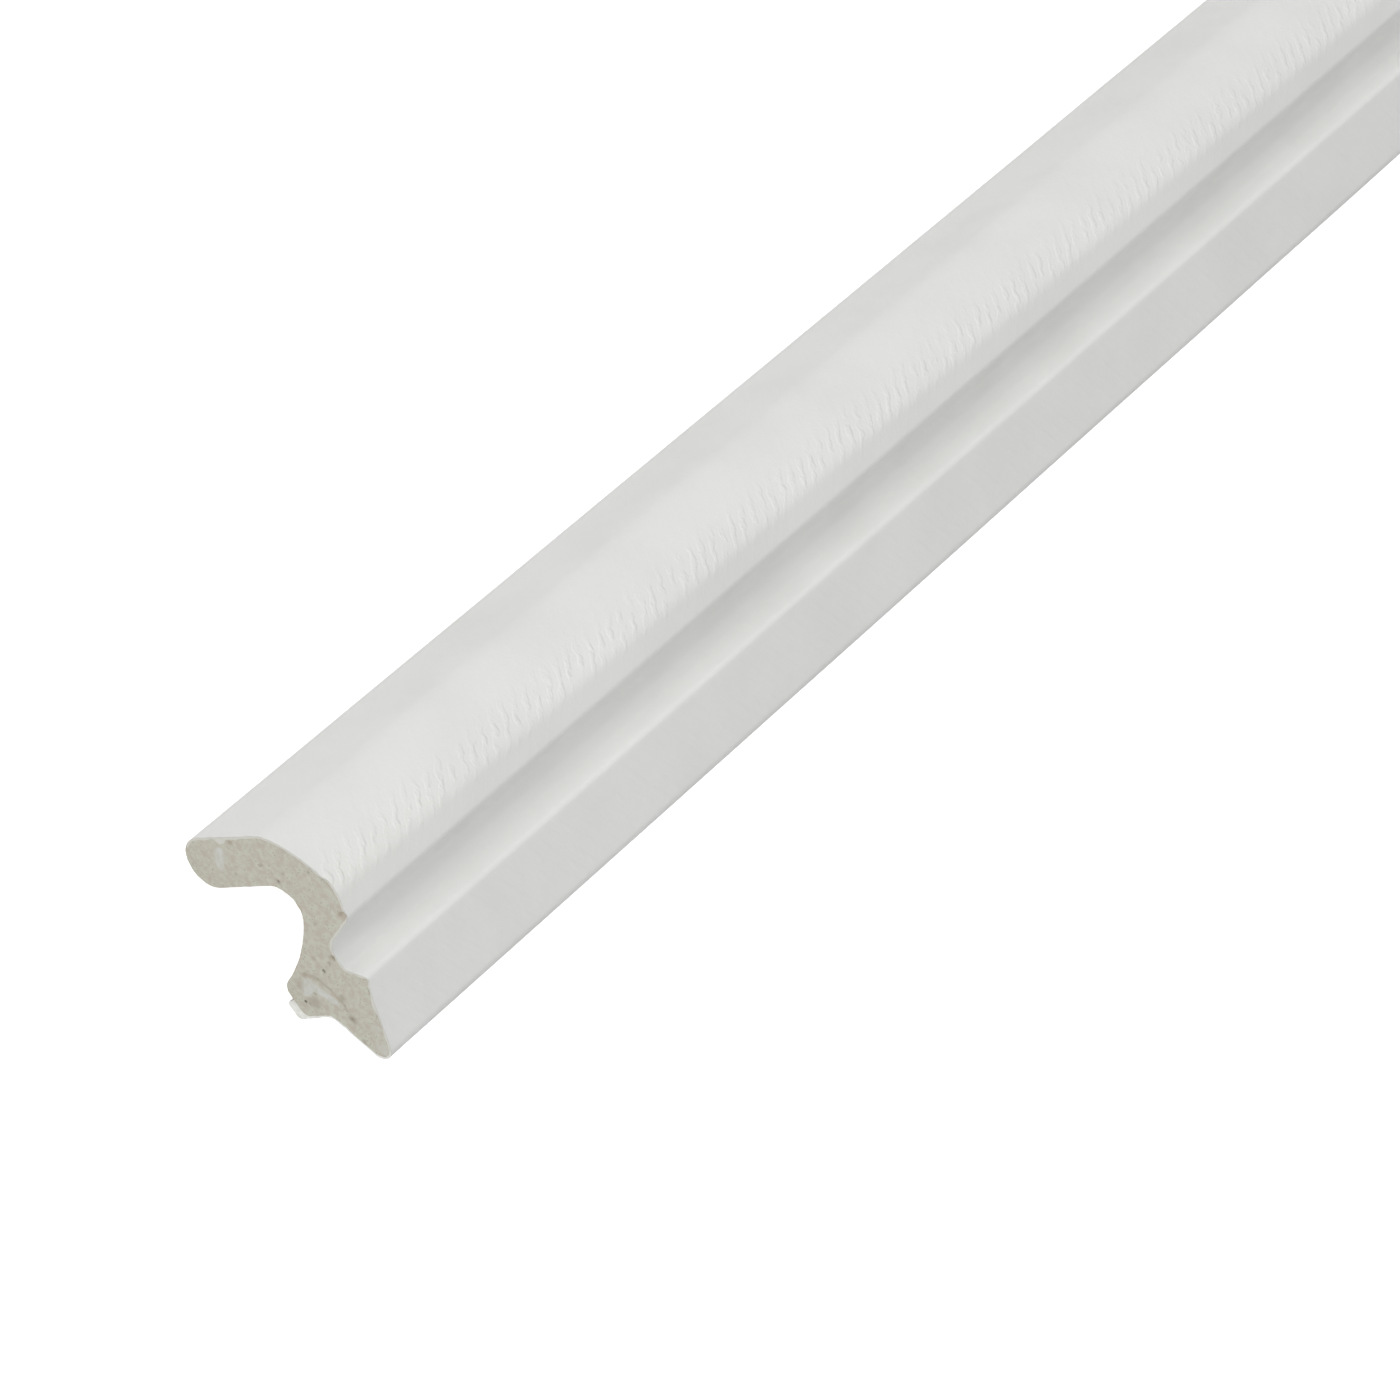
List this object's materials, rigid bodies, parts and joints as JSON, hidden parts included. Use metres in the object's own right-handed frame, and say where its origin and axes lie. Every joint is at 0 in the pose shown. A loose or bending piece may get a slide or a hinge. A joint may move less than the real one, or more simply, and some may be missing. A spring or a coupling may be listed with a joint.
{
  "type": "trim moulding",
  "caption": "Length of decorative panel moulding: hollow-backed arch, groove and sloping fascia with a rebate behind, foamed core under a thin white coat.",
  "frame": {"origin": "midway along and midway across the moulding, on the plane that the bulb and the foot's bead stand on", "axes": "+X from the bulb to the fascia's tip, +Y along the length, +Z from the back to the show face"},
  "size_m": [0.04, 0.4, 0.0253],
  "materials": {
    "foamed_core": "sawn, fine closed-cell foam with speckle",
    "white_coat": "matt white with a faint fine embossed weave",
    "bead_coat": "matt off-white, slightly uneven",
    "pale_strand": "sawn, paler and denser foam"
  },
  "bodies": {
    "root": {"foam_core": "foamed_core", "face_coat": "white_coat", "foot_bead": "bead_coat", "bulb_strand": "pale_strand", "foot_strand": "pale_strand"}
  },
  "joints": []
}
